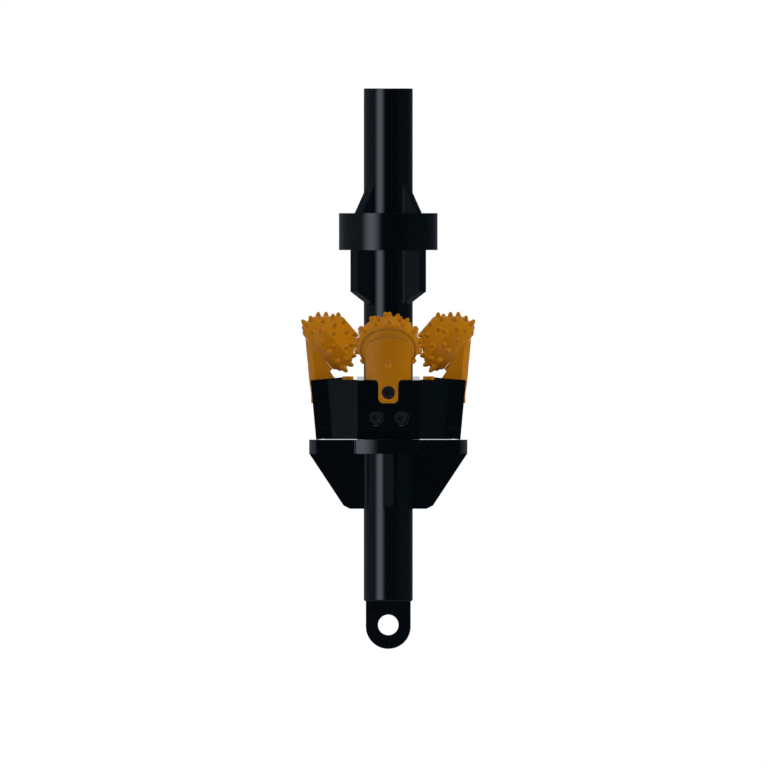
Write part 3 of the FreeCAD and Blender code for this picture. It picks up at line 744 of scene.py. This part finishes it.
def set_world(stage, room):
    """White behind the object, soft light from all round, and the room that gloss surfaces mirror."""
    world = bpy.data.worlds.new("studio")
    bpy.context.scene.world = world
    tree = Tree(world)
    x, y, z = tree.split(tree.add("TexCoord", out="Generated"))
    mirrored, back_card = mirrored_room(x, y, z, room)
    soft = stage.even_light + z * stage.top_light
    glossy = tree.ray("Glossy")
    clear = tree.ray("Camera").either(tree.ray("Transmission"))
    strength = clear + (1.0 - clear) * (glossy * mirrored + (1.0 - glossy) * soft)
    colour = tree.blend(glossy * (1.0 - back_card), WHITE, room.tint)
    shine = tree.add("Background", None, {"Color": colour, "Strength": strength})
    tree.add("OutputWorld", None, {"Surface": shine})


def add_lamp(name, toward, strength, spread, shadow):
    """A broad far lamp, which lights only the matt part of a surface."""
    data = bpy.data.lights.new(name, "SUN")
    data.energy = math.pi * strength
    data.angle = spread
    data.use_shadow = shadow
    data.cycles.use_multiple_importance_sampling = False
    lamp = bpy.data.objects.new(name, data)
    lamp.rotation_euler = Vector(toward).to_track_quat("Z", "Y").to_euler()
    lamp.visible_glossy = False
    bpy.context.scene.collection.objects.link(lamp)


def set_lamps(settings):
    """Fill lamps all round, and one lamp that casts the floor's soft shadow."""
    for name, toward, share in FILL_LAMPS:
        add_lamp(name, toward, settings.fill_light * share, settings.lamp_spread, False)
    add_lamp("shadow_lamp", TOWARD_SHADOW_LAMP, settings.shadow_light, settings.lamp_spread, True)


def set_camera(settings):
    """A level camera with parallel rays, in front of the object."""
    data = bpy.data.cameras.new("camera")
    data.type = "ORTHO"
    data.ortho_scale = settings.view_width
    camera = bpy.data.objects.new("camera", data)
    camera.location = (settings.aim_across, -CAMERA_DISTANCE, settings.aim_height)
    camera.rotation_euler = (math.pi / 2, 0.0, 0.0)
    bpy.context.scene.collection.objects.link(camera)
    bpy.context.scene.camera = camera
    bpy.context.scene.view_settings.view_transform = "Standard"


class HOLEOPENER_OT_stage(bpy.types.Operator):
    """Set the camera, the pale floor and the studio's light"""

    bl_idname = "holeopener.stage"
    bl_label = "Set the stage"

    def execute(self, context):
        settings = context.scene.hole_opener_stage
        set_camera(settings)
        set_world(settings, context.scene.hole_opener_room)
        set_lamps(settings)
        model_floor(settings)
        return {"FINISHED"}


class HOLEOPENER_OT_shaft(bpy.types.Operator):
    """Paint the shaft black and leave its box and bore bare"""

    bl_idname = "holeopener.shaft"
    bl_label = "Finish the shaft"

    def execute(self, context):
        scene = context.scene
        dress(["shaft"], make_shaft_finish(scene.hole_opener_enamel, scene.hole_opener_bare))
        return {"FINISHED"}


class HOLEOPENER_OT_body(bpy.types.Operator):
    """Paint the hub, its plates, the centraliser, the base and the pull eye in gloss black"""

    bl_idname = "holeopener.body"
    bl_label = "Paint the body"

    def execute(self, context):
        enamel = make_black_enamel(context.scene.hole_opener_enamel)
        dress(["hub_body", "centraliser_ring", "base_plate", "pull_eye"], enamel)
        dress(numbered("saddle_plate", "centraliser_fin", "base_gusset"), enamel)
        keep_out_of_gloss(numbered("centraliser_fin"))
        return {"FINISHED"}


class HOLEOPENER_OT_cutters(bpy.types.Operator):
    """Paint the arms, cones, inserts, ball plugs and nozzles orange"""

    bl_idname = "holeopener.cutters"
    bl_label = "Paint the cutters"

    def execute(self, context):
        enamel = context.scene.hole_opener_enamel
        bare = context.scene.hole_opener_bare
        plain = make_orange_enamel("orange_enamel", enamel, bare)
        dress(numbered("inserts", "nozzle") + ["ball_plugs"], plain)
        for k, joint in zip(CUTTERS, CONE_JOINTS):
            finish = make_orange_enamel(f"cutter_enamel_{k}", enamel, bare, joint)
            dress([f"arm_{k}", f"cone_{k}"], finish)
        keep_out_of_gloss(numbered("arm", "cone", "inserts", "nozzle"))
        return {"FINISHED"}


class HOLEOPENER_OT_screws(bpy.types.Operator):
    """Give the cutter screws their black oxide"""

    bl_idname = "holeopener.screws"
    bl_label = "Blacken the screws"

    def execute(self, context):
        colour = context.scene.hole_opener_bare.black_oxide
        oxide = make_steel("black_oxide", colour, roughness=0.4, lay_width=6.0 * MM, metallic=0.2)
        dress(["cutter_screws"], oxide)
        return {"FINISHED"}


class HOLEOPENER_OT_bearings(bpy.types.Operator):
    """Give the rollers, balls, bushes, washers and seals their metals and rubber"""

    bl_idname = "holeopener.bearings"
    bl_label = "Finish the bearings"

    def execute(self, context):
        bare = context.scene.hole_opener_bare
        ground = make_steel("ground_steel", bare.ground_steel, roughness=0.14, lay_width=4.0 * MM)
        bronze = make_steel("bronze", bare.bronze, roughness=0.3, lay_width=6.0 * MM)
        dress(numbered("rollers", "balls"), ground)
        dress(numbered("pilot_bush", "thrust_washer"), bronze)
        dress(numbered("seal"), make_rubber(bare))
        return {"FINISHED"}


class HOLEOPENER_OT_thread(bpy.types.Operator):
    """Model the tapered thread inside the tool-joint box"""

    bl_idname = "holeopener.thread"
    bl_label = "Cut the box thread"

    def execute(self, context):
        colour = context.scene.hole_opener_bare.thread_steel
        thread = model_box_thread(context.scene.hole_opener_thread)
        steel = make_steel("thread_steel", colour, roughness=0.34, lay_width=10.0 * MM)
        thread.data.materials.append(steel)
        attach(thread, "tool_body")
        return {"FINISHED"}


class HOLEOPENER_PT_sidebar(bpy.types.Panel):
    """The hole opener's finishes and stage"""

    bl_idname = "HOLEOPENER_PT_sidebar"
    bl_label = "Hole Opener"
    bl_space_type = "VIEW_3D"
    bl_region_type = "UI"
    bl_category = "Hole Opener"

    def draw(self, context):
        for group in SETTINGS.values():
            box = self.layout.box()
            settings = getattr(context.scene, group)
            for name in settings.bl_rna.properties.keys():
                if name not in ("rna_type", "name"):
                    box.prop(settings, name)
        for operator in OPERATORS:
            self.layout.operator(operator.bl_idname)


SETTINGS = {
    EnamelSettings: "hole_opener_enamel",
    BareSettings: "hole_opener_bare",
    ThreadSettings: "hole_opener_thread",
    StageSettings: "hole_opener_stage",
    RoomSettings: "hole_opener_room",
}
OPERATORS = (
    HOLEOPENER_OT_stage,
    HOLEOPENER_OT_shaft,
    HOLEOPENER_OT_body,
    HOLEOPENER_OT_cutters,
    HOLEOPENER_OT_screws,
    HOLEOPENER_OT_bearings,
    HOLEOPENER_OT_thread,
)


def register():
    for group, name in SETTINGS.items():
        bpy.utils.register_class(group)
        setattr(bpy.types.Scene, name, PointerProperty(type=group))
    for operator in OPERATORS:
        bpy.utils.register_class(operator)
    bpy.utils.register_class(HOLEOPENER_PT_sidebar)


def unregister():
    bpy.utils.unregister_class(HOLEOPENER_PT_sidebar)
    for operator in reversed(OPERATORS):
        bpy.utils.unregister_class(operator)
    for group, name in SETTINGS.items():
        delattr(bpy.types.Scene, name)
        bpy.utils.unregister_class(group)


def main():
    register()
    bpy.ops.holeopener.stage()
    bpy.ops.holeopener.shaft()
    bpy.ops.holeopener.body()
    bpy.ops.holeopener.cutters()
    bpy.ops.holeopener.screws()
    bpy.ops.holeopener.bearings()
    bpy.ops.holeopener.thread()


if __name__ == "__main__":
    main()
